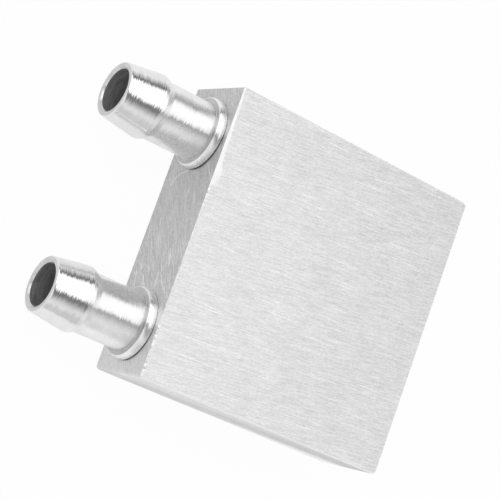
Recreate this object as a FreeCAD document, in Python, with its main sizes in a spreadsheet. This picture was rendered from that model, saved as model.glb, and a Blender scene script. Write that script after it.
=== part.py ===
"""Liquid cooling cold plate, 40 x 40 x 12 mm, with two hose barbs.

A short length of extruded aluminium profile makes the body. A centre web divides its inside
into two bays, and thin fins stand on the floor and the roof of each. The fins are milled back
at both ends and the web at the far end, so that the coolant enters one bay, turns round the
end of the web and comes back through the other. A plate closes each end, located by a land
that enters the mouth of the profile. The plate at the front carries two turned hose barbs.

Frame: +Z up, origin at the centre of the lower large face. The barbs point along -Y and stand
apart along X. Millimetres.
"""

import FreeCAD, Part
import Sketcher
import os

DIMENSIONS = {
    # whole plate
    "plate_width": 40.0,
    "plate_length": 40.0,
    "plate_thickness": 12.0,
    "edge_break": 0.2,
    "front_corner_radius": 0.3,
    "rear_corner_radius": 0.6,
    # extruded profile
    "skin_thickness": 1.5,
    "side_wall": 2.0,
    "web_thickness": 2.0,
    "fin_count": 5,
    "fin_thickness": 1.0,
    "fin_height": 3.6,
    "front_plenum": 6.0,
    "rear_plenum": 6.0,
    # end plates
    "front_plate": 4.0,
    "rear_plate": 3.0,
    "land_length": 1.5,
    "land_clearance": 0.05,
    # hose barbs, lengths measured outwards from the front face
    "port_inset": 6.7,
    "bore_diameter": 5.9,
    "spigot_diameter": 7.4,
    "spigot_clearance": 0.02,
    "spigot_setback": 0.5,
    "spigot_lead": 0.25,
    "flange_diameter": 10.0,
    "flange_thickness": 1.15,
    "flange_undercut": 0.15,
    "flange_rounding": 0.35,
    "neck_diameter": 8.1,
    "neck_fillet": 0.4,
    "neck_length": 6.85,
    "crest_diameter": 9.0,
    "crest_rise": 0.9,
    "crest_land": 0.6,
    "cone_length": 5.0,
    "tip_diameter": 7.6,
    "tip_chamfer": 0.12,
    "mouth_chamfer": 0.2,
}

# Shared positions. The seams are where the profile meets its two end plates.
FRONT_FACE = "(-dims.plate_length / 2)"
FRONT_SEAM = "(-dims.plate_length / 2 + dims.front_plate)"
REAR_SEAM = "(dims.plate_length / 2 - dims.rear_plate)"
REAR_FACE = "(dims.plate_length / 2)"
HALF_WIDTH = "(dims.plate_width / 2)"
MID_HEIGHT = "(dims.plate_thickness / 2)"
FLOOR = "dims.skin_thickness"
ROOF = "(dims.plate_thickness - dims.skin_thickness)"
INNER_SIDE = "(dims.plate_width / 2 - dims.side_wall)"
HALF_WEB = "(dims.web_thickness / 2)"
CHANNEL = (
    f"(({INNER_SIDE} - {HALF_WEB} - dims.fin_count * dims.fin_thickness)"
    " / (dims.fin_count + 1))"
)
FIN_PITCH = f"({CHANNEL} + dims.fin_thickness)"
WEB_START = f"({FRONT_SEAM} + dims.land_length)"
FINS_START = f"({FRONT_SEAM} + dims.front_plenum)"
FINS_END = f"({REAR_SEAM} - dims.rear_plenum)"
PORT_X = "(dims.plate_width / 2 - dims.port_inset)"
PORT_RADIUS = "(dims.spigot_diameter / 2 + dims.spigot_clearance)"

# How near an edge must lie to the place it is looked for.
TOLERANCE = 1e-4


def write_dimensions(doc):
    """Put every driving size into a spreadsheet cell under its own name."""
    sheet = doc.addObject("Spreadsheet::Sheet", "dims")
    for row, (alias, value) in enumerate(DIMENSIONS.items(), start=1):
        sheet.set(f"A{row}", alias)
        sheet.set(f"B{row}", str(value))
        sheet.setAlias(f"B{row}", alias)
    doc.recompute()


def new_body(doc, label):
    """An empty body, labelled with the name of its file."""
    body = doc.addObject("PartDesign::Body", label)
    body.Label = label
    return body


def new_sketch(body, name, plane, height="0"):
    """A sketch on one of the body's origin planes, raised along the normal of the plane."""
    sketch = body.newObject("Sketcher::SketchObject", name)
    support = next(item for item in body.Origin.OriginFeatures if item.Role == plane)
    sketch.AttachmentSupport = [(support, "")]
    sketch.MapMode = "FlatFace"
    sketch.setExpression("AttachmentOffset.Base.z", height)
    return sketch


def section_sketch(body, name, y):
    """A sketch square to the length of the plate, seen from the front, at a station along Y."""
    return new_sketch(body, name, "XZ_Plane", f"-{y}")


def draw_outline(sketch, corners):
    """Draw a closed outline whose corners stay bound to pairs of expressions."""
    values = [tuple(float(sketch.evalExpression(text)) for text in corner) for corner in corners]
    lines = []
    for start, end in zip(values, values[1:] + values[:1]):
        segment = Part.LineSegment(FreeCAD.Vector(*start, 0), FreeCAD.Vector(*end, 0))
        lines.append(sketch.addGeometry(segment, False))
    for line, following in zip(lines, lines[1:] + lines[:1]):
        sketch.addConstraint(Sketcher.Constraint("Coincident", line, 2, following, 1))
    for line, corner, value in zip(lines, corners, values):
        for kind, text, number in zip(("DistanceX", "DistanceY"), corner, value):
            index = sketch.addConstraint(Sketcher.Constraint(kind, -1, 1, line, 1, number))
            sketch.setExpression(f"Constraints[{index}]", text)


def draw_box(sketch, left, right, low, high):
    """Draw a rectangle between four expressions."""
    draw_outline(sketch, [(left, low), (right, low), (right, high), (left, high)])


def draw_circle(sketch, x, y, radius):
    """Draw a circle whose centre and radius stay bound to expressions."""
    centre = [float(sketch.evalExpression(text)) for text in (x, y)]
    circle = Part.Circle()
    circle.Center = FreeCAD.Vector(*centre, 0)
    circle.Radius = float(sketch.evalExpression(radius))
    shape = sketch.addGeometry(circle, False)
    for kind, text, number in zip(("DistanceX", "DistanceY"), (x, y), centre):
        index = sketch.addConstraint(Sketcher.Constraint(kind, -1, 1, shape, 3, number))
        sketch.setExpression(f"Constraints[{index}]", text)
    index = sketch.addConstraint(Sketcher.Constraint("Radius", shape, circle.Radius))
    sketch.setExpression(f"Constraints[{index}]", radius)


def extrude(body, kind, name, sketch, length, against_normal=False):
    """Pad or pocket a sketch by a bound length."""
    feature = body.newObject(f"PartDesign::{kind}", name)
    feature.Profile = sketch
    feature.Reversed = against_normal
    feature.setExpression("Length", length)
    body.Document.recompute()
    return feature


def dress_edges(body, kind, name, base, chosen, size):
    """Fillet or chamfer the edges of a feature for which the test holds."""
    edges = [f"Edge{i}" for i, edge in enumerate(base.Shape.Edges, start=1) if chosen(edge)]
    feature = body.newObject(f"PartDesign::{kind}", name)
    feature.Base = (base, edges)
    feature.setExpression("Radius" if kind == "Fillet" else "Size", size)
    body.Document.recompute()
    return feature


def near(first, second):
    """Whether two lengths are the same for the purpose of finding an edge."""
    return abs(first - second) < TOLERANCE


def build_profile(doc):
    """The extruded body: a flat tube with its centre web and the two bays of fins."""
    body = new_body(doc, "profile_body")

    section = section_sketch(body, "tube_section", FRONT_SEAM)
    left, right, low, high = f"-{HALF_WIDTH}", HALF_WIDTH, "0", "dims.plate_thickness"
    draw_outline(section, [
        (f"{left} + dims.edge_break", low),
        (f"{right} - dims.edge_break", low),
        (right, f"{low} + dims.edge_break"),
        (right, f"{high} - dims.edge_break"),
        (f"{right} - dims.edge_break", high),
        (f"{left} + dims.edge_break", high),
        (left, f"{high} - dims.edge_break"),
        (left, f"{low} + dims.edge_break"),
    ])
    draw_box(section, f"-{INNER_SIDE}", INNER_SIDE, FLOOR, ROOF)
    extrude(body, "Pad", "tube", section, f"{REAR_SEAM} - {FRONT_SEAM}", True)

    web = section_sketch(body, "web_section", WEB_START)
    draw_box(web, f"-{HALF_WEB}", HALF_WEB, FLOOR, ROOF)
    extrude(body, "Pad", "web", web, f"{FINS_END} - {WEB_START}", True)

    fins = section_sketch(body, "fin_section", FINS_START)
    for bay_start in (f"-{INNER_SIDE}", HALF_WEB):
        left = f"{bay_start} + {CHANNEL}"
        right = f"{left} + dims.fin_thickness"
        draw_box(fins, left, right, FLOOR, f"{FLOOR} + dims.fin_height")
        draw_box(fins, left, right, f"{ROOF} - dims.fin_height", ROOF)
    first_fins = extrude(body, "Pad", "first_fins", fins, f"{FINS_END} - {FINS_START}", True)

    row = body.newObject("PartDesign::LinearPattern", "fin_row")
    row.Originals = [first_fins]
    row.Direction = (fins, ["H_Axis"])
    row.Mode = "Spacing"
    row.setExpression("Offset", FIN_PITCH)
    row.setExpression("Occurrences", "dims.fin_count")
    body.Tip = row
    return body


def build_end_plate(doc, label, face, seam, corner_radius, ports):
    """A plate that closes one end of the profile, with its land and, in front, its ports."""
    body = new_body(doc, label)
    outline = new_sketch(body, f"{label}_outline", "XY_Plane")
    draw_box(outline, f"-{HALF_WIDTH}", HALF_WIDTH, face, seam)
    slab = extrude(body, "Pad", f"{label}_slab", outline, "dims.plate_thickness")

    face_y = float(outline.evalExpression(face))
    seam_y = float(outline.evalExpression(seam))
    corners = dress_edges(
        body, "Fillet", f"{label}_corners", slab,
        lambda edge: near(edge.BoundBox.YMin, face_y) and near(edge.BoundBox.YMax, face_y)
        and edge.BoundBox.ZLength > TOLERANCE,
        corner_radius,
    )
    dress_edges(
        body, "Chamfer", f"{label}_break", corners,
        lambda edge: edge.BoundBox.ZLength < TOLERANCE
        and not (near(edge.BoundBox.YMin, seam_y) and near(edge.BoundBox.YMax, seam_y)),
        "dims.edge_break",
    )

    inwards_is_plus_y = seam_y > face_y
    land = section_sketch(body, f"{label}_land_section", seam)
    draw_box(
        land,
        f"-{INNER_SIDE} + dims.land_clearance", f"{INNER_SIDE} - dims.land_clearance",
        f"{FLOOR} + dims.land_clearance", f"{ROOF} - dims.land_clearance",
    )
    extrude(body, "Pad", f"{label}_land", land, "dims.land_length", inwards_is_plus_y)

    if ports:
        holes = section_sketch(body, f"{label}_ports_section", face)
        for side in ("-1", "1"):
            draw_circle(holes, f"{side} * {PORT_X}", MID_HEIGHT, PORT_RADIUS)
        depth = "dims.front_plate + dims.land_length"
        extrude(body, "Pocket", f"{label}_ports", holes, depth, False)
    return body


def build_barb(doc, label, side):
    """A turned hose barb, revolved about its own axis and then set on the front face."""
    body = new_body(doc, label)
    bore, spigot = "dims.bore_diameter / 2", "dims.spigot_diameter / 2"
    flange, neck = "dims.flange_diameter / 2", "dims.neck_diameter / 2"
    crest, tip = "dims.crest_diameter / 2", "dims.tip_diameter / 2"
    inner_end = "(dims.front_plate + dims.land_length - dims.spigot_setback)"
    neck_end = "(-dims.flange_thickness - dims.neck_length)"
    crest_start = f"({neck_end} - dims.crest_rise)"
    crest_end = f"({crest_start} - dims.crest_land)"
    mouth = f"({crest_end} - dims.cone_length)"

    profile = new_sketch(body, f"{label}_section", "XY_Plane")
    draw_outline(profile, [
        (bore, inner_end),
        (f"{spigot} - dims.spigot_lead", inner_end),
        (spigot, f"{inner_end} - dims.spigot_lead"),
        (spigot, "0"),
        (f"{flange} - dims.flange_undercut", "0"),
        (flange, "-dims.flange_undercut"),
        (flange, "-dims.flange_thickness"),
        (neck, "-dims.flange_thickness"),
        (neck, neck_end),
        (crest, crest_start),
        (crest, crest_end),
        (tip, f"{mouth} + dims.tip_chamfer"),
        (f"{tip} - dims.tip_chamfer", mouth),
        (f"{bore} + dims.mouth_chamfer", mouth),
        (bore, f"{mouth} + dims.mouth_chamfer"),
    ])
    turned = body.newObject("PartDesign::Revolution", f"{label}_turned")
    turned.Profile = profile
    turned.ReferenceAxis = (profile, ["V_Axis"])
    doc.recompute()

    base = turned
    step = float(profile.evalExpression("-dims.flange_thickness"))
    for name, radius in (("flange_rounding", flange), ("neck_fillet", neck)):
        reach = float(profile.evalExpression(radius))
        base = dress_edges(
            body, "Fillet", f"{label}_{name}", base,
            lambda edge: near(edge.BoundBox.YMin, step) and near(edge.BoundBox.YMax, step)
            and near(edge.BoundBox.XMax, reach),
            f"dims.{name}",
        )

    body.setExpression("Placement.Base.x", f"{side} * {PORT_X}")
    body.setExpression("Placement.Base.y", FRONT_FACE)
    body.setExpression("Placement.Base.z", MID_HEIGHT)
    return body


def check_and_export(doc, bodies):
    """Stop on any feature that failed or any shape that is not sound, then write the files."""
    doc.recompute()
    for item in doc.Objects:
        if {"Invalid", "Error"} & set(item.State):
            raise RuntimeError(f"{item.Name} did not compute: {item.State}")
    os.makedirs("parts", exist_ok=True)
    for body in bodies:
        if body.Shape.isNull() or not body.Shape.isValid() or len(body.Shape.Solids) != 1:
            raise RuntimeError(f"{body.Label} is not one sound solid")
        body.Shape.exportStep(f"parts/{body.Label}.step")


document = FreeCAD.newDocument("ColdPlate")
write_dimensions(document)
check_and_export(document, [
    build_profile(document),
    build_end_plate(
        document, "port_plate", FRONT_FACE, FRONT_SEAM, "dims.front_corner_radius", True
    ),
    build_end_plate(
        document, "rear_plate", REAR_FACE, REAR_SEAM, "dims.rear_corner_radius", False
    ),
    build_barb(document, "inlet_barb", "-1"),
    build_barb(document, "outlet_barb", "1"),
])
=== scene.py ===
"""Dress the liquid cooling cold plate: finishes, worn edges, turned barbs, light and camera.

The frame gives the plain solids. The extruded body and the rear plate keep their shape and get
their finish here. The front plate and the two hose barbs are modelled again with the fine
detail that the solids leave out: the filed edge, the open seats of the flanges, the tool's
rings, the rounded rims and the crests. Sizes are in millimetres unless a comment says otherwise.
"""

import logging
import math
import random
from collections.abc import Sequence
from dataclasses import dataclass
from enum import Enum

import bmesh
import bpy
from mathutils import Matrix, Vector, noise

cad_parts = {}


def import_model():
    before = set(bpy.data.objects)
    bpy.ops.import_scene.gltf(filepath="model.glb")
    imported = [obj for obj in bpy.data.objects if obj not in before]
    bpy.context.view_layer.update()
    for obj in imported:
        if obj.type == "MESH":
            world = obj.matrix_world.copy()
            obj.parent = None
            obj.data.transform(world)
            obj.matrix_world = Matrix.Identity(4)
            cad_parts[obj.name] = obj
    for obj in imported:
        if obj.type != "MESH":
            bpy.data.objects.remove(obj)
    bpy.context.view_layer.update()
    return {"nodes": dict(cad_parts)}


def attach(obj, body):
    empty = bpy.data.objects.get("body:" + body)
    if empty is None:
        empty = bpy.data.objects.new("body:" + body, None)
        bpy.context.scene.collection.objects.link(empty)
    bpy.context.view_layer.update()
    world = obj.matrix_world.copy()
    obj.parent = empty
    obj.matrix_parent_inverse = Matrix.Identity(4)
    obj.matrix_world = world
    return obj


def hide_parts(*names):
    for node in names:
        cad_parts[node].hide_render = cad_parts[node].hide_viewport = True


MM = 0.001
LOG = logging.getLogger("cold_plate")
# The plate's upper face and front end, and how far each barb stands from the middle.
TOP = 12.0
FRONT = -20.0
PORT_X = 13.3
# Nearly all the levels of a noise lie between these.
NOISE_RANGE = (0.3, 0.7)

Socket = bpy.types.NodeSocket
Tree = bpy.types.NodeTree
Material = bpy.types.Material
Piece = bpy.types.Object
Mesh = bmesh.types.BMesh
Pair = tuple[float, float]
Triple = tuple[float, float, float]


class Side(Enum):
    """The two hose barbs, by the side of the plate they stand on."""

    INLET = -1
    OUTLET = 1


class Combine(Enum):
    """What a tool does to a piece."""

    JOIN = "UNION"
    CUT = "DIFFERENCE"


class Cut(Enum):
    """How the lathe left a span of a barb's section, by the slot of its finish."""

    FINISHED = 0
    QUICK = 1
    FACED_MOUTH = 2
    DRILLED = 3
    FACED_FLANGE = 4


# ------------------------------------------------------------------ shader helpers


def linear(code: str) -> tuple[float, float, float, float]:
    """Turn an sRGB hex colour into linear red, green, blue and alpha.

    Args:
        code: six hex digits.

    Returns:
        The colour that Blender's sockets take.
    """
    parts = [int(code[i:i + 2], 16) / 255 for i in (0, 2, 4)]
    red, green, blue = [p / 12.92 if p <= 0.04045 else ((p + 0.055) / 1.055) ** 2.4 for p in parts]
    return red, green, blue, 1.0


def add(tree: Tree, kind: str, inputs: Sequence | dict = (), out: int = 0,
        stops: Sequence[Pair] = (), **settings: object) -> Socket | None:
    """Add a node with its settings and its links.

    Args:
        tree: the node tree to add to.
        kind: the type of the node, without its "ShaderNode".
        inputs: values or sockets for the inputs, in order, or by name or number.
        out: the number of the output that is wanted.
        stops: places and grey levels, for a colour ramp.
        **settings: properties of the node.

    Returns:
        The output socket, or nothing for a node that ends a tree.
    """
    node = tree.nodes.new("ShaderNode" + kind)
    for name, setting in settings.items():
        setattr(node, name, setting)
    for key, value in inputs.items() if isinstance(inputs, dict) else enumerate(inputs):
        if isinstance(value, Socket):
            tree.links.new(value, node.inputs[key])
        else:
            node.inputs[key].default_value = value
    for index, (place, level) in enumerate(stops):
        elements = node.color_ramp.elements
        element = elements[index] if index < 2 else elements.new(place)
        element.position, element.color = place, (level, level, level, 1.0)
    return node.outputs[out] if node.outputs else None


def empty_material(name: str) -> tuple[Material, Tree]:
    """Make a material with nothing in it.

    Args:
        name: the material's name.

    Returns:
        The material and its node tree.
    """
    material = bpy.data.materials.new(name)
    material.use_nodes = True
    material.node_tree.nodes.clear()
    return material, material.node_tree


def millimetres(tree: Tree) -> Socket:
    """The point on the surface in millimetres, in the frame of the plate."""
    place = add(tree, "TexCoord", out=3)
    return add(tree, "VectorMath", {0: place, 3: 1 / MM}, operation="SCALE")


# ------------------------------------------------------------------ finishes


@dataclass(frozen=True)
class Streaks:
    """Noise drawn out into streaks, and the tones that they give a metal."""

    # Typical length and width of a streak.
    length: float
    width: float
    # Where the noise is cut, so that two sets differ.
    cut: float
    # The tones that go with the levels below.
    tones: Pair
    levels: Pair = NOISE_RANGE
    # How far the streaks are turned from the lay of the surface, in degrees.
    turn: float = 0.0

    def level(self, tree: Tree, place: Socket, lay: Sequence[Socket | Triple]) -> Socket:
        """Draw the streaks.

        Args:
            tree: the node tree to add to.
            place: the point on the surface, in millimetres.
            lay: unit vectors along and across the streaks.

        Returns:
            A level from 0 to 1.
        """
        reach = [add(tree, "VectorMath", [place, way], 1, operation="DOT_PRODUCT") for way in lay]
        drawn = add(tree, "CombineXYZ", [*reach, self.cut])
        scale = (1 / self.length, 1 / self.width, 1.0)
        cells = add(tree, "VectorMath", [drawn, scale], operation="MULTIPLY")
        return add(tree, "TexNoise", {
            "Vector": cells, "Scale": 1.0, "Detail": 1.0, "Roughness": 0.4,
        })


@dataclass(frozen=True)
class Scratch:
    """One straight scratch left by handling, between two places in the frame of the plate."""

    start: Triple
    end: Triple
    gain: float = 0.2

    @staticmethod
    def on_face(x: float, y: float, end_x: float, end_y: float) -> "Scratch":
        """A faint scratch on the upper large face."""
        return Scratch((x, y, TOP), (end_x, end_y, TOP))

    @staticmethod
    def on_front(x: float, z: float, end_x: float, end_z: float) -> "Scratch":
        """A bright scratch on the front end."""
        return Scratch((x, FRONT, z), (end_x, FRONT, end_z), 1.0)


@dataclass(frozen=True)
class BrushedAluminium:
    """Wrought aluminium rubbed on abrasive cloth after the plates were fixed on.

    The grit leaves fine straight lines, and a satin sheen that spreads across them. The large
    faces and the sides are rubbed along the plate. The ends are rubbed at a slant with coarser
    grit, and their darker colour is partly that grit and partly painted shade. Every broken
    edge carries a painted highlight.
    """

    name: str = "brushed_aluminium"
    metal: str = "dcdcdc"
    # The ends' colour is darker, partly for coarser grit and partly as painted shade.
    end_metal_with_shade: str = "c6c6c6"
    # The tone that turns the metal white.
    most: float = 1.38
    roughness: float = 0.36
    end_roughness: float = 0.44
    anisotropy: float = 0.5
    # How the large faces are rubbed, in degrees from the plate's length, and the ends, in
    # degrees from its width.
    face_slant: float = 7.5
    end_slant: float = 34.0

    # A grit line is about 0.05 mm wide. It is drawn twice as wide, or it wouldn't show. Short
    # lines and long ones lie together, and both are stronger on the ends.
    fine: Streaks = Streaks(0.4, 0.12, 1.3, (-0.07, 0.07))
    long: Streaks = Streaks(2.4, 0.12, 7.7, (-0.08, 0.08))
    end_strength: float = 1.5
    line_depth: float = 0.0022
    # What a dark line adds to the roughness, and a pale one takes off.
    line_roughness: float = 0.05
    # A few long lines lie across the lay, and short ones scuff the front end, more and more
    # between these two places along X; they are real scuffs, and their rise along X also paints
    # light on the front end.
    stray: Streaks = Streaks(9.0, 0.14, 4.1, (0.0, 0.17), (0.62, 0.72), -6.0)
    scuff: Streaks = Streaks(1.6, 0.16, 9.2, (0.0, 0.9), (0.63, 0.69), 9.0)
    scuffs_and_light_from: Pair = (-1.0, 8.0)
    scuffs_and_light_share: Pair = (0.1, 1.0)

    # Broad changes of tone: clouds everywhere, and painted shading, what each millimetre adds on a
    # large face.
    cloud_scale: float = 0.16
    cloud_tones: Pair = (-0.02, 0.02)
    painted_face_slope: Triple = (0.0022, -0.0025, 0.0)
    # Painted shade makes the sides darker, and a band of painted light lies aslant on them: its
    # levels go by the distance along a direction, between two ends.
    painted_side_slope: Triple = (0.0, -0.0036, 0.0)
    painted_side_shade: float = -0.155
    painted_band_way: Triple = (0.0, -0.18, 1.0)
    painted_band_ends: Pair = (-4.6, 15.4)
    painted_band: tuple[Pair, ...] = (
        (0.0, 1.0), (0.12, 0.95), (0.22, 0.5), (0.28, 0.42), (0.33, 0.16), (0.38, 0.06),
        (0.5, 0.0), (0.58, 0.03), (0.68, 0.16), (0.80, 0.2), (0.95, 0.26),
    )
    # Painted light brightens the front end at the outlet's corner, from one place along X to
    # another.
    painted_light_from: Pair = (9.0, 13.0)
    painted_light_gain: float = 0.3
    # A painted highlight brightens every broken edge.
    edge_highlight_gain: float = 0.35

    scratch_width: float = 0.18
    scratches: tuple[Scratch, ...] = (
        Scratch.on_face(-14.1, 17.4, -11.7, 16.4), Scratch.on_face(-8.7, -9.4, -9.2, -6.8),
        Scratch.on_face(13.2, -19.5, 12.3, -7.0), Scratch.on_face(-17.0, 4.1, -17.9, 8.6),
        Scratch.on_face(-10.0, 9.7, -10.4, 15.7),
        # A curved scrape below the inlet, and knocks on the way to the outlet.
        Scratch.on_front(-5.9, 2.1, -6.9, 2.7), Scratch.on_front(-6.9, 2.7, -7.7, 3.8),
        Scratch.on_front(-7.7, 3.8, -8.1, 5.2), Scratch.on_front(-9.5, 9.3, -6.9, 11.8),
        Scratch.on_front(-5.6, 7.3, -4.5, 7.2), Scratch.on_front(-4.9, 8.9, -3.6, 9.8),
        Scratch.on_front(-1.4, 2.9, -0.3, 3.3), Scratch.on_front(2.8, 8.1, 4.9, 9.3),
        Scratch.on_front(6.1, 7.3, 8.2, 7.4), Scratch.on_front(5.2, 7.4, 5.9, 8.0),
        Scratch.on_front(6.0, 10.1, 8.1, 11.4), Scratch.on_front(6.1, 1.5, 8.2, 2.2),
        Scratch.on_front(6.7, 3.8, 8.2, 4.7), Scratch.on_front(7.1, 8.6, 8.7, 10.6),
    )

    # How far a normal leans to X or Y on a side or an end, and the least product of its X and
    # Z on a broken edge.
    facing_least: float = 0.75
    edge_least: float = 0.3

    def facing(self, tree: Tree) -> tuple[Socket, Socket, Socket]:
        """Tell the sides, the ends and the broken edges from the large faces.

        Args:
            tree: the node tree to add to.

        Returns:
            Three values of 0 or 1: on a side, on an end, on a broken edge.
        """
        normal = add(tree, "TexCoord", out=1)
        size = add(tree, "VectorMath", [normal], operation="ABSOLUTE")
        x, y, z = [add(tree, "SeparateXYZ", [size], out=n) for n in range(3)]
        is_side, is_end = [
            add(tree, "Math", [part, self.facing_least], operation="GREATER_THAN")
            for part in (x, y)
        ]
        slant = add(tree, "Math", [x, z], operation="MULTIPLY")
        is_edge = add(tree, "Math", [slant, self.edge_least], operation="GREATER_THAN")
        return is_side, is_end, is_edge

    def lay(self, tree: Tree, is_side: Socket, is_end: Socket, turn: float = 0.0) -> list[Socket]:
        """Directions along and across the rubbing, on whichever face this is.

        Args:
            tree: the node tree to add to.
            is_side: whether the surface is a side of the plate.
            is_end: whether the surface is an end of the plate.
            turn: how far the directions are turned from the usual ones, in degrees.

        Returns:
            Two unit vectors in the frame of the plate.
        """
        face, end = math.radians(self.face_slant + turn), math.radians(self.end_slant + turn)
        along = ((-math.sin(face), math.cos(face), 0.0), (0.0, 1.0, 0.0),
                 (math.cos(end), 0.0, math.sin(end)))
        across = ((math.cos(face), math.sin(face), 0.0), (0.0, 0.0, 1.0),
                  (-math.sin(end), 0.0, math.cos(end)))
        directions = []
        for on_face, on_side, on_end in (along, across):
            way = add(tree, "Mix", {0: is_side, 4: on_face, 5: on_side}, 1, data_type="VECTOR")
            directions.append(
                add(tree, "Mix", {0: is_end, 4: way, 5: on_end}, 1, data_type="VECTOR")
            )
        return directions

    def shade(self, tree: Tree, place: Socket, is_side: Socket, is_end: Socket,
              is_front: Socket) -> list[Socket]:
        """Broad changes of tone: a cloud, painted shading on the large faces, painted shade and a
        band of painted light on the sides, and painted light at the front end's outlet corner.

        Args:
            tree: the node tree to add to.
            place: the point on the surface, in millimetres.
            is_side: whether the surface is a side of the plate.
            is_end: whether the surface is an end of the plate.
            is_front: whether the surface is the front end.

        Returns:
            What each adds to the tone.
        """
        mottle = add(tree, "TexNoise", {"Vector": place, "Scale": self.cloud_scale, "Detail": 3.0})
        cloud = add(tree, "MapRange", [mottle, *NOISE_RANGE, *self.cloud_tones])
        # Painted shading across the large faces, painted shade on the sides, and the reach across
        # the band of painted light.
        painted_face_light, painted_side_shade, reach = [
            add(tree, "VectorMath", [place, way], 1, operation="DOT_PRODUCT")
            for way in (self.painted_face_slope, self.painted_side_slope, self.painted_band_way)
        ]
        # The band of painted light on the sides, added to their painted shade.
        share = add(tree, "MapRange", [reach, *self.painted_band_ends, 0.0, 1.0])
        painted_band = add(tree, "ValToRGB", [share], stops=self.painted_band)
        for part in (painted_band, self.painted_side_shade):
            painted_side_shade = add(tree, "Math", [painted_side_shade, part], operation="ADD")
        x = add(tree, "SeparateXYZ", [place])
        # Painted light at the outlet's corner of the front end.
        worn = add(tree, "MapRange", [x, *self.painted_light_from, 0.0, self.painted_light_gain])
        elsewhere = add(tree, "Math", [is_side, is_end], operation="ADD")
        is_face = add(tree, "Math", [1.0, elsewhere], operation="SUBTRACT")
        return [cloud] + [
            add(tree, "Math", [where, tone], operation="MULTIPLY")
            for where, tone in ((is_face, painted_face_light), (is_side, painted_side_shade), (is_front, worn))
        ]

    def handled(self, tree: Tree, place: Socket) -> Socket:
        """Brighten the scratches that handling left.

        Args:
            tree: the node tree to add to.
            place: the point on the surface, in millimetres.

        Returns:
            What they add to the tone.
        """
        gain = 0.0
        for scratch in self.scratches:
            start = Vector(scratch.start)
            run = Vector(scratch.end) - start
            offset = add(tree, "VectorMath", [place, start], operation="SUBTRACT")
            reach = add(tree, "VectorMath", [offset, run / run.length_squared], 1,
                        operation="DOT_PRODUCT")
            share = add(tree, "MapRange", [reach, 0.0, 1.0, 0.0, 1.0])
            foot = add(tree, "VectorMath", {0: run, 3: share}, operation="SCALE")
            gap = add(tree, "VectorMath", [offset, foot], 1, operation="DISTANCE")
            inside = add(tree, "MapRange", [gap, 0.0, self.scratch_width / 2, scratch.gain, 0.0])
            gain = add(tree, "Math", [gain, inside], operation="ADD")
        return gain

    def build(self) -> Material:
        """Make the material.

        Returns:
            The material.
        """
        material, tree = empty_material(self.name)
        place = millimetres(tree)
        x, y = [add(tree, "SeparateXYZ", [place], out=n) for n in range(2)]
        is_side, is_end, is_edge = self.facing(tree)
        ahead = add(tree, "Math", [y, 0.0], operation="LESS_THAN")
        is_front = add(tree, "Math", [is_end, ahead], operation="MULTIPLY")

        lay = self.lay(tree, is_side, is_end)
        fine, long = [streaks.level(tree, place, lay) for streaks in (self.fine, self.long)]
        stray, scuff = [
            streaks.level(tree, place, self.lay(tree, is_side, is_end, streaks.turn))
            for streaks in (self.stray, self.scuff)
        ]
        strength = add(tree, "MapRange", [is_end, 0.0, 1.0, 1.0, self.end_strength])
        # Real scuffs, denser along X, whose rise also paints light on the front end.
        scuffs_and_light = add(tree, "MapRange", [x, *self.scuffs_and_light_from, *self.scuffs_and_light_share])
        scuffs_and_light = add(tree, "Math", [is_front, scuffs_and_light], operation="MULTIPLY")

        # The painted highlight on the broken edges comes first, then the streaks.
        gains = [(self.edge_highlight_gain, is_edge)] + [
            (where, add(tree, "MapRange", [level, *streaks.levels, *streaks.tones]))
            for where, level, streaks in (
                (strength, fine, self.fine), (strength, long, self.long),
                (1.0, stray, self.stray), (scuffs_and_light, scuff, self.scuff),
            )
        ]
        tone = 1.0
        for part in [
            *self.shade(tree, place, is_side, is_end, is_front), self.handled(tree, place),
            *[add(tree, "Math", [where, gain], operation="MULTIPLY") for where, gain in gains],
        ]:
            tone = add(tree, "Math", [tone, part], operation="ADD")
        tone = add(tree, "Math", [tone, self.most], operation="MINIMUM")

        # On the ends, a darker colour: partly coarser grit, partly painted shade.
        metal = add(tree, "Mix", {0: is_end, 6: linear(self.metal), 7: linear(self.end_metal_with_shade)}, 2,
                    data_type="RGBA")
        satin = add(tree, "MapRange", [is_end, 0.0, 1.0, self.roughness, self.end_roughness])
        uneven = add(tree, "MapRange", [
            fine, *NOISE_RANGE, self.line_roughness, -self.line_roughness,
        ])
        height = add(tree, "Math", [fine, long], operation="ADD")
        shader = add(tree, "BsdfPrincipled", {
            "Metallic": 1.0,
            "Base Color": add(tree, "VectorMath", {0: metal, 3: tone}, operation="SCALE"),
            "Roughness": add(tree, "Math", [satin, uneven], operation="ADD"),
            "Anisotropic": self.anisotropy,
            "Tangent": lay[1],
            "Normal": add(tree, "Bump", {"Height": height, "Distance": self.line_depth * MM}),
        })
        add(tree, "OutputMaterial", [shader])
        return material


@dataclass(frozen=True)
class FiledAluminium:
    """Aluminium cut back with a fine file: a bright facet with faint strokes along the edge."""

    name: str = "filed_aluminium"
    metal: str = "ececec"
    roughness: float = 0.34
    # What a dark stroke adds to the roughness, and a pale one takes off.
    stroke_roughness: float = 0.05
    # A fine file's strokes are about 0.05 mm apart. They are drawn twice as wide, to show.
    strokes: Streaks = Streaks(1.6, 0.12, 2.0, (0.94, 1.03))

    def build(self) -> Material:
        """Make the material.

        Returns:
            The material.
        """
        material, tree = empty_material(self.name)
        lay = ((1.0, 0.0, 0.0), (0.0, 1.0, 0.0))
        level = self.strokes.level(tree, millimetres(tree), lay)
        tone = add(tree, "MapRange", [level, *self.strokes.levels, *self.strokes.tones])
        shader = add(tree, "BsdfPrincipled", {
            "Metallic": 1.0,
            "Base Color": add(tree, "VectorMath", {0: linear(self.metal)[:3], 3: tone},
                              operation="SCALE"),
            "Roughness": add(tree, "MapRange", [
                level, *NOISE_RANGE, self.roughness + self.stroke_roughness,
                self.roughness - self.stroke_roughness,
            ]),
        })
        add(tree, "OutputMaterial", [shader])
        return material


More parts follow.
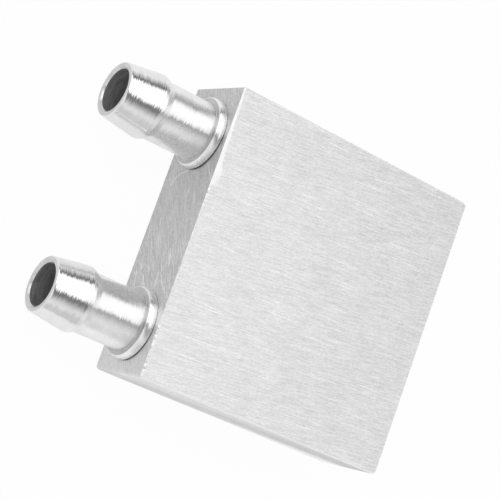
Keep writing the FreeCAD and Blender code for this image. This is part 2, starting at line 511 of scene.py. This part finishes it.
@dataclass(frozen=True)
class TurnedAluminium:
    """Bar aluminium cut on a lathe: bright, with the tool's rings round the axis.

    A finishing cut leaves a near mirror whose reflections have frayed edges. A quicker cut
    leaves a soft sheen.
    """

    name: str
    axis_x: float
    axis_z: float = TOP / 2
    metal: str = "ededed"
    roughness: float = 0.11
    # What wear adds to the roughness and takes off it, and the tones it gives.
    wear_roughness: Pair = (0.04, -0.03)
    wear_tones: Pair = (-0.03, 0.03)
    wear_scale: float = 0.7
    # The tool's feed is about 0.05 mm a turn. The rings are drawn wider, so that they show.
    feed: float = 0.11
    ring_depth: float = 0.003
    # How far a ring's tone falls. It rises half as much.
    tone_range: float = 0.04
    # How many times a ring changes in a millimetre round the axis.
    changes: float = 0.6
    # How far the rings sway a reflection round the axis.
    fraying: float = 0.36
    # How far the rings draw a reflection out along the axis.
    anisotropy: float = 0.0

    def rings(self, tree: Tree, place: Socket) -> Socket:
        """Draw the tool's rings, round a barrel and on a face alike.

        Args:
            tree: the node tree to add to.
            place: the point on the surface, in millimetres.

        Returns:
            A level from 0 to 1.
        """
        axis = (self.axis_x, 0.0, self.axis_z)
        spoke = add(tree, "VectorMath", [place, axis], operation="SUBTRACT")
        spoke = add(tree, "VectorMath", [spoke, (1.0, 0.0, 1.0)], operation="MULTIPLY")
        radius = add(tree, "VectorMath", [spoke], 1, operation="LENGTH")
        x, y, z = [add(tree, "SeparateXYZ", [place], out=n) for n in range(3)]
        travel = add(tree, "Math", [y, radius], operation="ADD")
        groove = add(tree, "CombineXYZ", [x, travel, z])
        scale = (self.changes, 1 / self.feed, self.changes)
        cells = add(tree, "VectorMath", [groove, scale], operation="MULTIPLY")
        return add(tree, "TexNoise", {"Vector": cells, "Scale": 1.0, "Detail": 2.0})

    def build(self) -> Material:
        """Make the material.

        Returns:
            The material.
        """
        material, tree = empty_material(self.name)
        place = millimetres(tree)
        rings = self.rings(tree, place)
        worn = add(tree, "TexNoise", {"Vector": place, "Scale": self.wear_scale, "Detail": 3.0})

        normal = add(tree, "TexCoord", out=1)
        around = add(tree, "VectorMath", [normal, (0.0, 1.0, 0.0)], operation="CROSS_PRODUCT")
        off_middle = add(tree, "Math", [rings, 0.5], operation="SUBTRACT")
        sway = add(tree, "Math", [off_middle, self.fraying], operation="MULTIPLY")
        swayed = add(tree, "VectorMath", {0: around, 3: sway}, operation="SCALE")
        frayed = add(tree, "VectorMath", [normal, swayed], operation="ADD")
        in_world = add(tree, "VectorTransform", [frayed], vector_type="NORMAL",
                       convert_from="OBJECT", convert_to="WORLD")
        bump = add(tree, "Bump", {
            "Height": rings, "Distance": self.ring_depth * MM, "Normal": in_world,
        })

        ring_tone = add(tree, "MapRange", [
            rings, *NOISE_RANGE, 1 - self.tone_range, 1 + self.tone_range / 2,
        ])
        wear_tone = add(tree, "MapRange", [worn, *NOISE_RANGE, *self.wear_tones])
        tone = add(tree, "Math", [ring_tone, wear_tone], operation="ADD")
        dull, bright = [self.roughness + change for change in self.wear_roughness]
        shader = add(tree, "BsdfPrincipled", {
            "Metallic": 1.0,
            "Base Color": add(tree, "VectorMath", {0: linear(self.metal)[:3], 3: tone},
                              operation="SCALE"),
            "Roughness": add(tree, "MapRange", [worn, *NOISE_RANGE, dull, bright]),
            "Anisotropic": self.anisotropy,
            "Tangent": add(tree, "VectorMath", [normal, around], operation="CROSS_PRODUCT"),
            "Normal": bump,
        })
        add(tree, "OutputMaterial", [shader])
        return material


@dataclass(frozen=True)
class DrilledAluminium:
    """The wall of a drilled hole: torn rings, dull and grey beside the turned outside."""

    name: str = "drilled_aluminium"
    metal: str = "e2e2e2"
    roughness: float = 0.5
    # What a dark ring adds to the roughness, and a pale one takes off.
    ring_roughness: float = 0.1
    ring_tones: Pair = (0.35, 1.1)
    # A drill's feed is about 0.1 mm a turn. The rings are drawn four times as wide, to show.
    feed: float = 0.4
    ring_depth: float = 0.05
    # How many times a ring changes in a millimetre round the axis.
    changes: float = 0.4

    def build(self) -> Material:
        """Make the material.

        Returns:
            The material.
        """
        material, tree = empty_material(self.name)
        scale = (self.changes, 1 / self.feed, self.changes)
        cells = add(tree, "VectorMath", [millimetres(tree), scale], operation="MULTIPLY")
        rings = add(tree, "TexNoise", {
            "Vector": cells, "Scale": 1.0, "Detail": 4.0, "Roughness": 0.7,
        })
        tone = add(tree, "MapRange", [rings, *NOISE_RANGE, *self.ring_tones])
        shader = add(tree, "BsdfPrincipled", {
            "Metallic": 1.0,
            "Base Color": add(tree, "VectorMath", {0: linear(self.metal)[:3], 3: tone},
                              operation="SCALE"),
            "Roughness": add(tree, "MapRange", [
                rings, *NOISE_RANGE, self.roughness + self.ring_roughness,
                self.roughness - self.ring_roughness,
            ]),
            "Normal": add(tree, "Bump", {"Height": rings, "Distance": self.ring_depth * MM}),
        })
        add(tree, "OutputMaterial", [shader])
        return material


# ------------------------------------------------------------------ mesh helpers


def new_piece(name: str, mesh: Mesh, finishes: list[Material]) -> Piece:
    """Turn a mesh drawn in millimetres into an object in metres.

    Args:
        name: the object's name.
        mesh: the mesh, which is freed.
        finishes: one material for each slot that the faces use.

    Returns:
        The object, linked to the scene.
    """
    bmesh.ops.scale(mesh, vec=(MM, MM, MM), verts=mesh.verts)
    bmesh.ops.recalc_face_normals(mesh, faces=mesh.faces)
    data = bpy.data.meshes.new(name)
    mesh.to_mesh(data)
    mesh.free()
    for finish in finishes:
        data.materials.append(finish)
    piece = bpy.data.objects.new(name, data)
    bpy.context.scene.collection.objects.link(piece)
    return piece


def shade_smooth(piece: Piece, degrees: float) -> None:
    """Smooth the shading wherever faces meet at less than an angle.

    Args:
        piece: the object.
        degrees: the angle past which an edge stays sharp.
    """
    for polygon in piece.data.polygons:
        polygon.use_smooth = True
    piece.data.set_sharp_from_angle(angle=math.radians(degrees))


def interpolate(stations: Sequence[Pair], place: float) -> float:
    """Read a value between stations.

    Args:
        stations: pairs of place and value, in order.
        place: where to read it.

    Returns:
        The value there.
    """
    for (start, low), (end, high) in zip(stations, stations[1:]):
        if place <= end:
            share = min(max((place - start) / (end - start), 0.0), 1.0)
            return low + (high - low) * share
    return stations[-1][1]


# ------------------------------------------------------------------ the body


@dataclass
class PlainSolids:
    """The extruded body and the rear plate, which keep the frame's shape."""

    nodes: dict[str, Piece]
    finish: Material
    names: tuple[str, ...] = ("profile_body", "rear_plate")

    def dress(self) -> None:
        """Put the finish on every slot of both."""
        for name in self.names:
            for slot in self.nodes[name].material_slots:
                slot.material = self.finish
            LOG.info("finished %s", name)


# ------------------------------------------------------------------ the plate at the ports


@dataclass
class PortPlate:
    """The front end plate, with its filed upper edge, its worn corners and its two ports."""

    finish: Material
    filed: Material
    width: float = 40.0
    height: float = TOP
    face: float = FRONT
    thickness: float = 4.0
    # The land runs back into the body, and into the plate so that the two join.
    land_length: float = 1.5
    land_half_width: float = 17.95
    land_rise: float = 1.55
    land_sunk: float = 0.5
    port_x: float = PORT_X
    port_radius: float = 3.72
    port_segments: int = 96
    edge_break: float = 0.2
    corner: float = 0.3
    lower_corner: float = 0.7

    # How far the file cut into the upper face, by the place along the edge, and how unevenly.
    filed_widths: tuple[Pair, ...] = (
        (-20.0, 0.16), (-17.0, 0.34), (-13.0, 0.46), (-11.0, 0.50), (-9.7, 0.66), (-8.7, 1.02),
        (-7.5, 1.10), (-6.4, 0.32), (-5.2, 0.20), (-2.0, 0.10), (10.0, 0.09), (14.0, 0.24),
        (20.0, 0.26),
    )
    filed_bites: tuple[Pair, ...] = (
        (-20.0, 0.03), (-9.0, 0.06), (-7.0, 0.22), (-4.0, 0.26), (-2.0, 0.06), (10.0, 0.06),
        (13.0, 0.26), (20.0, 0.26),
    )
    # Bites to the millimetre, and where each noise is cut.
    bite_noises: tuple[Pair, ...] = ((2.3, 0.0), (6.1, 5.0))
    filed_least: float = 0.05
    filed_drop: float = 0.07
    # How far a face of the filed facet leans to the front, and to the top.
    filed_lean: Pair = (0.04, 0.3)

    # Distances from an edge at which the mesh has its lines, and how many spans lie between.
    near: tuple[float, ...] = (
        0.0, 0.04, 0.09, 0.15, 0.22, 0.3, 0.4, 0.52, 0.66, 0.82, 1.0, 1.2,
    )
    deeper: tuple[float, ...] = (1.45, 1.8, 2.3, 3.0)
    spans_across: int = 250
    spans_up: int = 16
    smooth_below: float = 3.0

    def filed_width(self, x: float) -> float:
        """How far the file cut into the upper face at a place along the edge.

        Args:
            x: place along the edge.

        Returns:
            The width of the facet.
        """
        bite = sum(noise.noise(Vector((rate * x, cut, 0.0))) for rate, cut in self.bite_noises)
        width = interpolate(self.filed_widths, x) + interpolate(self.filed_bites, x) * bite
        return max(width, self.filed_least)

    def worn(self, place: Vector) -> Vector:
        """Move a point of the sharp plate to where the worn edges leave it.

        Args:
            place: the point on the sharp plate.

        Returns:
            The point on the worn plate.
        """
        half, middle = self.width / 2, self.height / 2
        side = math.copysign(1.0, place.x)
        level = math.copysign(1.0, place.z - middle)
        radius = self.corner
        if side > 0:
            radius = interpolate(((0.0, self.lower_corner), (middle, self.corner)), place.z)
        point = place.copy()
        centre = Vector((side * (half - radius), self.face + radius, place.z))
        spoke = point - centre
        if spoke.x * side > 0 > spoke.y and spoke.length > radius:
            point = centre + spoke.normalized() * radius

        front = (Vector((0, -1, 0)), -self.face)
        end = (Vector((side, 0, 0)), half)
        flat = (Vector((0, 0, level)), middle + level * middle)
        filed, drop = self.edge_break, self.edge_break
        if level > 0:
            filed, drop = self.filed_width(place.x), self.filed_drop
        for (first, reach), (second, limit), cut, other in (
            (front, flat, filed, drop),
            (end, flat, self.edge_break, self.edge_break),
        ):
            depth = (reach - point.dot(first)) / cut + (limit - point.dot(second)) / other
            if depth < 1:
                slope = first / cut + second / other
                point -= slope * ((1 - depth) / slope.length_squared)
        return point

    def lattice(self) -> list[list[float]]:
        """Where the mesh of the plate has its lines, close together near the edges.

        Returns:
            Places along X, along Y and along Z.
        """
        places = []
        for size, start, spans in (
            (self.width, -self.width / 2, self.spans_across), (self.height, 0.0, self.spans_up),
        ):
            inner = (size - 2 * self.near[-1]) / spans
            places.append(
                [start + d for d in self.near]
                + [start + self.near[-1] + i * inner for i in range(1, spans)]
                + [start + size - d for d in reversed(self.near)]
            )
        depths = [self.face + d for d in (*self.near, *self.deeper, self.thickness)]
        return [places[0], depths, places[1]]

    def shell(self) -> Mesh:
        """Draw the plate as a closed lattice over a box, with its edges worn.

        Returns:
            The mesh.
        """
        places = self.lattice()
        mesh = bmesh.new()
        points: dict[tuple[int, ...], bmesh.types.BMVert] = {}

        def point(key: tuple[int, ...]) -> bmesh.types.BMVert:
            """Find the vertex at a lattice place, or make it the first time.

            Args:
                key: the numbers of the lines that cross there.

            Returns:
                The vertex.
            """
            if key not in points:
                sharp = Vector([places[axis][key[axis]] for axis in range(3)])
                points[key] = mesh.verts.new(self.worn(sharp))
            return points[key]

        for axis in range(3):
            first, second = [n for n in range(3) if n != axis]
            for end in (0, len(places[axis]) - 1):
                for p in range(len(places[first]) - 1):
                    for q in range(len(places[second]) - 1):
                        corners = []
                        for step_p, step_q in ((0, 0), (1, 0), (1, 1), (0, 1)):
                            key = [end, end, end]
                            key[first], key[second] = p + step_p, q + step_q
                            corners.append(point(tuple(key)))
                        mesh.faces.new(corners)
        return mesh

    def land(self) -> Piece:
        """Make the block on the plate's back that fills the end of the body.

        Returns:
            The piece.
        """
        mesh = bmesh.new()
        bmesh.ops.create_cube(mesh, size=1.0)
        depth, middle = self.land_length + self.land_sunk, (self.land_length - self.land_sunk) / 2
        size = (2 * self.land_half_width, depth, self.height - 2 * self.land_rise)
        bmesh.ops.scale(mesh, vec=size, verts=mesh.verts)
        centre = (0.0, self.face + self.thickness + middle, self.height / 2)
        bmesh.ops.translate(mesh, vec=centre, verts=mesh.verts)
        return new_piece("land", mesh, [self.finish])

    def drill(self, side: Side) -> Piece:
        """Make the tool that cuts one port.

        Args:
            side: the barb that the port is for.

        Returns:
            The piece.
        """
        mesh = bmesh.new()
        centre = (side.value * self.port_x, self.face + self.thickness / 2, self.height / 2)
        bmesh.ops.create_cone(
            mesh, cap_ends=True, segments=self.port_segments, radius1=self.port_radius,
            radius2=self.port_radius, depth=4 * self.thickness,
            matrix=Matrix.Translation(centre) @ Matrix.Rotation(math.pi / 2, 4, "X"),
        )
        return new_piece("drill", mesh, [self.finish])

    @staticmethod
    def combine(piece: Piece, tool: Piece, operation: Combine) -> None:
        """Cut a piece with a tool, or join the two, and keep the result.

        Args:
            piece: the object that is changed.
            tool: the object that is used up.
            operation: what the tool does.
        """
        modifier = piece.modifiers.new("combine", "BOOLEAN")
        modifier.object, modifier.operation, modifier.solver = tool, operation.value, "EXACT"
        graph = bpy.context.evaluated_depsgraph_get()
        result = bpy.data.meshes.new_from_object(piece.evaluated_get(graph))
        piece.modifiers.clear()
        piece.data = result
        bpy.data.objects.remove(tool)

    def build(self) -> Piece:
        """Make the plate with its land and its ports.

        Returns:
            The piece.
        """
        mesh = self.shell()
        bmesh.ops.recalc_face_normals(mesh, faces=mesh.faces)
        to_front, to_top = self.filed_lean
        for face in mesh.faces:
            upper = face.calc_center_median().z > self.height / 2
            if upper and face.normal.y < -to_front and face.normal.z > to_top:
                face.material_index = 1
        piece = new_piece("port_plate_filed", mesh, [self.finish, self.filed])
        self.combine(piece, self.land(), Combine.JOIN)
        for side in Side:
            self.combine(piece, self.drill(side), Combine.CUT)
        return piece

    def dress(self) -> Piece:
        """Build the plate, shade it and set it in the frame.

        Returns:
            The piece.
        """
        piece = self.build()
        shade_smooth(piece, self.smooth_below)
        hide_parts("port_plate")
        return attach(piece, "root")


# ------------------------------------------------------------------ hose barbs


@dataclass
class HoseBarb:
    """A turned hose barb: flange, neck, one crest with a long taper, and a drilled bore.

    Stations are measured outwards from the front face.
    """

    side: Side
    drilled: Material
    axis_x: float = PORT_X
    axis_z: float = TOP / 2
    face: float = FRONT
    segments: int = 144
    bore: float = 2.95
    bore_spans: int = 40
    spigot: float = 3.7
    spigot_end: float = -5.0
    spigot_lead: float = 0.25

    flange: float = 5.0
    flange_thickness: float = 1.15
    # The break of the flange's rear edge.
    flange_break: float = 0.06
    # How far the rounding of the rim runs along the axis, and how deep it cuts.
    rim_length: float = 0.85
    rim_depth: float = 0.42
    rim_steps: int = 12
    # The flange sits a little proud on one side, where its seat stands open. The gap closes to
    # its least share on the other side.
    seat_gap: float = 0.16
    seat_least: float = 0.2
    seat_depth: float = 0.45
    seat_slope: float = 0.02
    seat_open_degrees: float = 85.0

    neck: float = 4.05
    neck_fillet: float = 0.12
    # How far past the fillet the rings start.
    neck_lead: float = 0.04
    neck_end: float = 8.0
    crest: float = 4.5
    crest_start: float = 8.9
    crest_end: float = 9.5
    crest_rounding: float = 0.22
    # How far inside the crest the centres of its two roundings lie.
    crest_insets: Pair = (0.12, 0.06)
    # How far under the crest the taper starts.
    taper_drop: float = 0.01
    tip: float = 3.8
    mouth: float = 14.5
    mouth_chamfer: float = 0.2
    mouth_rounding: float = 0.13
    # How far behind the mouth the taper ends, and how far over the tip's radius.
    taper_end: Pair = (0.16, 0.02)
    arc_steps: int = 6

    # The rings are drawn wider than the tool's feed, so that they show in the outline.
    feed: float = 0.24
    groove: float = 0.003
    groove_shares: Pair = (0.2, 1.0)
    groove_shape: tuple[Pair, ...] = ((0.0, 0.0), (0.25, 0.7), (0.5, 1.0), (0.75, 0.7))
    seed: int = 5

    # Where the finishes meet: how far the facing cut reaches back over the rim and along the
    # neck, how far past the crest the finishing cut starts, and how close the mouth is flat.
    faced_rim: float = 0.03
    faced_neck: float = 0.05
    finished_past: float = 0.02
    touch: float = 0.001
    smooth_below: float = 24.0

    def arc(self, station: float, radius: float, size: float, start: float,
            end: float) -> list[Pair]:
        """Points along a rounding of the section.

        Args:
            station: station of the centre of the rounding.
            radius: radius of its centre from the axis.
            size: radius of the rounding.
            start: first angle in degrees, from straight away from the axis, towards the mouth.
            end: last angle in degrees.

        Returns:
            The points.
        """
        shares = [i / self.arc_steps for i in range(self.arc_steps + 1)]
        angles = [math.radians(start + (end - start) * share) for share in shares]
        return [(station + size * math.sin(a), radius + size * math.cos(a)) for a in angles]

    def ringed(self, start: Pair, end: Pair) -> list[Pair]:
        """A straight part of the section with the tool's rings cut into it.

        Args:
            start: station and radius where it starts.
            end: station and radius where it ends.

        Returns:
            The points, the last one left out.
        """
        dice = random.Random(self.side.value + self.seed)
        turns = round((end[0] - start[0]) / self.feed)
        points = []
        for turn in range(turns):
            depth = self.groove * dice.uniform(*self.groove_shares)
            for share, cut in self.groove_shape:
                part = (turn + share) / turns
                points.append((
                    start[0] + (end[0] - start[0]) * part,
                    start[1] + (end[1] - start[1]) * part - depth * cut,
                ))
        return points

    def rim(self) -> list[Pair]:
        """The rounding from the flange's widest line to its face.

        Returns:
            Pairs of station and radius.
        """
        angles = [math.radians(90 * i / self.rim_steps) for i in range(self.rim_steps + 1)]
        return [
            (
                self.flange_thickness - self.rim_length * (1 - math.sin(angle)),
                self.flange - self.rim_depth * (1 - math.cos(angle)),
            )
            for angle in angles
        ]

    def outside(self) -> list[Pair]:
        """The section from the inner end of the spigot to the mouth.

        Returns:
            Pairs of station and radius.
        """
        fillet, lip = self.neck_fillet, self.mouth_rounding
        neck_start = self.flange_thickness + fillet
        seat = self.flange - self.seat_depth
        taper = math.degrees(math.atan2(self.crest - self.tip, self.mouth - self.crest_end))
        rise = math.degrees(math.atan2(self.crest - self.neck, self.crest_start - self.neck_end))
        centre = self.crest - self.crest_rounding
        rear_inset, front_inset = self.crest_insets
        tip = (self.mouth - self.taper_end[0], self.tip + self.taper_end[1])
        return [
            (self.spigot_end, self.spigot - self.spigot_lead),
            (self.spigot_end + self.spigot_lead, self.spigot),
            (0.0, self.spigot),
            (0.0, seat),
            (self.seat_gap, seat + self.seat_slope),
            (self.seat_gap, self.flange - self.flange_break),
            (self.seat_gap + self.flange_break, self.flange),
            *self.rim(),
            *self.arc(neck_start, self.neck + fillet, fillet, 270, 180),
            *self.ringed((neck_start + self.neck_lead, self.neck), (self.neck_end, self.neck)),
            (self.neck_end, self.neck),
            *self.arc(self.crest_start + rear_inset, centre, self.crest_rounding, -rise, 0),
            *self.arc(self.crest_end - front_inset, centre, self.crest_rounding, 0, taper),
            *self.ringed((self.crest_end, self.crest - self.taper_drop), tip),
            tip,
            *self.arc(self.mouth - lip, self.tip - lip, lip, 20, 90),
            (self.mouth, self.bore + self.mouth_chamfer),
        ]

    def section(self) -> tuple[list[Pair], list[Cut]]:
        """The whole section, closed through the bore.

        Returns:
            The points, and how the span that follows each was cut.
        """
        points = self.outside()
        faced_from = self.flange_thickness - self.faced_rim
        faced_to = self.flange_thickness + self.neck_fillet + self.faced_neck
        cuts = []
        for (station, _), (following, _) in zip(points, points[1:]):
            if station >= self.mouth - self.touch:
                cuts.append(Cut.FACED_MOUTH)
            elif faced_from < station and following < faced_to:
                cuts.append(Cut.FACED_FLANGE)
            elif following > self.crest_end + self.finished_past:
                cuts.append(Cut.FINISHED)
            else:
                cuts.append(Cut.QUICK)
        inner = self.mouth - self.mouth_chamfer
        span = (inner - self.spigot_end) / self.bore_spans
        points += [(inner - span * i, self.bore) for i in range(self.bore_spans + 1)]
        cuts += [Cut.FACED_MOUTH] + [Cut.DRILLED] * (self.bore_spans + 1)
        return points, cuts

    def finishes(self) -> list[Material]:
        """Make the finishes of this barb.

        Returns:
            One material for each slot of the section, in the order of the cuts.
        """
        name, x = self.side.name.lower(), self.side.value * self.axis_x
        return [
            TurnedAluminium(f"{name}_finish_turned", x).build(),
            TurnedAluminium(
                f"{name}_rough_turned", x, roughness=0.27, metal="f4f4f4", feed=0.16, fraying=0.22,
                anisotropy=0.92,
            ).build(),
            TurnedAluminium(
                f"{name}_faced", x, roughness=0.26, metal="d2d2d2", feed=0.14, tone_range=0.16,
                fraying=0.0,
            ).build(),
            self.drilled,
            # The flange's face has a faced finish, and its darker colour is painted shade in the
            # recess beside the neck.
            TurnedAluminium(
                f"{name}_flange_faced_shaded", x, roughness=0.36, metal="c4c4c4", feed=0.2,
                tone_range=0.12, fraying=0.0,
            ).build(),
        ]

    def build(self) -> Piece:
        """Turn the section about the axis.

        Returns:
            The piece.
        """
        mesh = bmesh.new()
        points, cuts = self.section()
        widest = math.radians(self.seat_open_degrees)
        circles = []
        for station, radius in points:
            circle = []
            for i in range(self.segments):
                angle = 2 * math.pi * i / self.segments
                place = station
                if 0 < station < 2 * self.seat_gap:
                    opening = max(math.cos(angle - widest), 0.0)
                    place *= self.seat_least + (1 - self.seat_least) * opening
                x = self.side.value * self.axis_x + radius * math.sin(angle)
                z = self.axis_z + radius * math.cos(angle)
                circle.append(mesh.verts.new((x, self.face - place, z)))
            circles.append(circle)
        for inner, outer, cut in zip(circles, circles[1:] + circles[:1], cuts):
            for i in range(self.segments):
                following = (i + 1) % self.segments
                face = mesh.faces.new((inner[i], inner[following], outer[following], outer[i]))
                face.material_index = cut.value
        return new_piece(f"{self.side.name.lower()}_barb_turned", mesh, self.finishes())

    def dress(self) -> Piece:
        """Build the barb, shade it and set it in the frame.

        Returns:
            The piece.
        """
        piece = self.build()
        shade_smooth(piece, self.smooth_below)
        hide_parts(f"{self.side.name.lower()}_barb")
        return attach(piece, "root")


# ------------------------------------------------------------------ the studio


@dataclass
class Studio:
    """A pale floor, a tent with one long soft box between two dark gaps, and the camera."""

    floor_size: float = 3000.0
    floor_spans: int = 8
    floor_depth: float = 0.01
    floor_colour: str = "f4f4f4"
    # Fibres to the millimetre in the paper, and the tones they give it.
    fibre_scale: float = 2.0
    fibre_tones: Pair = (0.99, 1.01)
    # How much of the floor's look is plain white, as the camera sees it and in reflections.
    floor_white: float = 0.96
    mirrored_white: float = 0.65

    lens: float = 140.588
    sensor: float = 36.0
    # The camera's near and far limits and its place in metres, and its own right and up.
    clip: Pair = (0.01, 20.0)
    eye: Triple = (0.0407, -0.141923, 0.225459)
    right: Triple = (-0.33223, 0.77388, 0.5392)
    up: Triple = (-0.92892, -0.36756, -0.04483)

    # Light from each direction round the length of the barbs, in degrees from straight up:
    # in the middle of the tent, and towards its front, where the soft box is wider.
    tent: tuple[Pair, ...] = (
        (-180.0, 0.96), (-94.0, 0.92), (-84.0, 0.90), (-76.0, 0.70), (-67.0, 0.20),
        (-57.0, 0.15), (-48.0, 1.52), (3.0, 1.52), (9.0, 0.46), (13.0, 0.52), (17.0, 0.80),
        (28.0, 1.00), (38.0, 1.08), (50.0, 1.12), (60.0, 1.10), (70.0, 1.06), (80.0, 1.08),
        (180.0, 1.10),
    )
    tent_front: tuple[Pair, ...] = (
        (-180.0, 0.96), (-94.0, 0.92), (-84.0, 0.90), (-74.0, 0.78), (-65.0, 0.42),
        (-59.0, 0.20), (-54.0, 0.18), (-47.0, 1.52), (9.0, 1.52), (17.0, 0.32), (22.0, 0.22),
        (29.0, 0.28), (36.0, 0.45), (46.0, 0.76), (55.0, 1.00), (64.0, 1.00), (75.0, 0.80),
        (180.0, 0.85),
    )
    # Where the front of the tent gives way to its middle, by how far a direction goes to +Y.
    front_ends: Pair = (0.34, 0.46)
    # The soft box leans: it turns by this many radians for each step towards +Y, from here.
    tent_lean: float = -0.47
    lean_from: float = 0.5
    # How strong the light is from straight ahead of the barbs, and from straight behind.
    depth_light: Pair = (2.3, 1.3)

    def light_tent(self) -> None:
        """Build the world: what the metal reflects, and plain white behind the object."""
        world = bpy.data.worlds.new("light_tent")
        bpy.context.scene.world = world
        world.use_nodes = True
        tree = world.node_tree
        tree.nodes.clear()
        direction = add(tree, "TexCoord")
        x, y, z = [add(tree, "SeparateXYZ", [direction], out=n) for n in range(3)]
        turn = add(tree, "Math", [x, z], operation="ARCTAN2")
        back = add(tree, "Math", [y, self.lean_from], operation="SUBTRACT")
        lean = add(tree, "Math", [back, self.tent_lean], operation="MULTIPLY")
        leaning = add(tree, "Math", [turn, lean], operation="ADD")
        share = add(tree, "MapRange", [leaning, -math.pi, math.pi, 0.0, 1.0])
        # A ramp's levels stop at 1, so they are halved here and the light below is twice as strong.
        middle, front = [
            add(tree, "ValToRGB", [share],
                stops=[((degrees + 180) / 360, light / 2) for degrees, light in tent])
            for tent in (self.tent, self.tent_front)
        ]
        ahead = add(tree, "MapRange", [y, *self.front_ends, 1.0, 0.0])
        level = add(tree, "Mix", {0: ahead, 2: middle, 3: front})
        depth = add(tree, "MapRange", [y, -1.0, 1.0, *self.depth_light])
        strength = add(tree, "Math", [level, depth], operation="MULTIPLY")
        is_camera = add(tree, "LightPath")
        seen = add(tree, "Mix", {0: is_camera, 2: strength, 3: 1.0})
        background = add(tree, "Background", [linear("ffffff"), seen])
        add(tree, "OutputWorld", [background])

    def lay_floor(self) -> None:
        """Lay a floor of pale paper that looks white to the camera and keeps the shadow."""
        mesh, spans = bmesh.new(), self.floor_spans
        bmesh.ops.create_grid(mesh, x_segments=spans, y_segments=spans, size=self.floor_size / 2)
        bmesh.ops.translate(mesh, vec=(0, 0, -self.floor_depth), verts=mesh.verts)
        # Uncoated paper is matt, and its fibres barely show.
        material, tree = empty_material("pale_paper")
        fibre = add(tree, "TexNoise", {"Vector": millimetres(tree), "Scale": self.fibre_scale})
        tone = add(tree, "MapRange", [fibre, *NOISE_RANGE, *self.fibre_tones])
        colour = add(tree, "VectorMath", {0: linear(self.floor_colour)[:3], 3: tone},
                     operation="SCALE")
        # Output 0 is 1 for what the camera sees, and output 3 for what a gloss reflects.
        seen, mirrored = [
            add(tree, "Math", [add(tree, "LightPath", out=n), white], operation="MULTIPLY")
            for n, white in ((0, self.floor_white), (3, self.mirrored_white))
        ]
        share = add(tree, "Math", [seen, mirrored], operation="MAXIMUM")
        paper = add(tree, "BsdfDiffuse", [colour])
        white = add(tree, "Emission", {1: 1.0})
        add(tree, "OutputMaterial", [add(tree, "MixShader", [share, paper, white])])
        new_piece("floor", mesh, [material])

    def set_camera(self) -> None:
        """Stand the camera where it looks down on the large face, with the barbs to the left."""
        right, up = Vector(self.right), Vector(self.up)
        turn = Matrix((right, up, right.cross(up))).transposed().to_4x4()
        data = bpy.data.cameras.new("camera")
        data.lens, data.sensor_width = self.lens, self.sensor
        data.clip_start, data.clip_end = self.clip
        camera = bpy.data.objects.new("camera", data)
        camera.matrix_world = Matrix.Translation(self.eye) @ turn
        bpy.context.scene.collection.objects.link(camera)
        bpy.context.scene.camera = camera

    def build(self) -> None:
        """Set up the light, the floor and the camera."""
        bpy.context.scene.view_settings.view_transform = "Standard"
        self.light_tent()
        self.lay_floor()
        self.set_camera()


def main() -> None:
    """Build and dress the whole plate."""
    logging.basicConfig(level=logging.INFO, format="%(message)s")
    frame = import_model()

    brushed = BrushedAluminium().build()
    PlainSolids(nodes=frame["nodes"], finish=brushed).dress()
    plate = PortPlate(finish=brushed, filed=FiledAluminium().build()).dress()
    LOG.info("built %s with %d faces", plate.name, len(plate.data.polygons))
    drilled = DrilledAluminium().build()
    for side in Side:
        barb = HoseBarb(side=side, drilled=drilled).dress()
        LOG.info("built %s with %d faces", barb.name, len(barb.data.polygons))
    Studio().build()
    LOG.info("set up the studio")


if __name__ == "__main__":
    main()
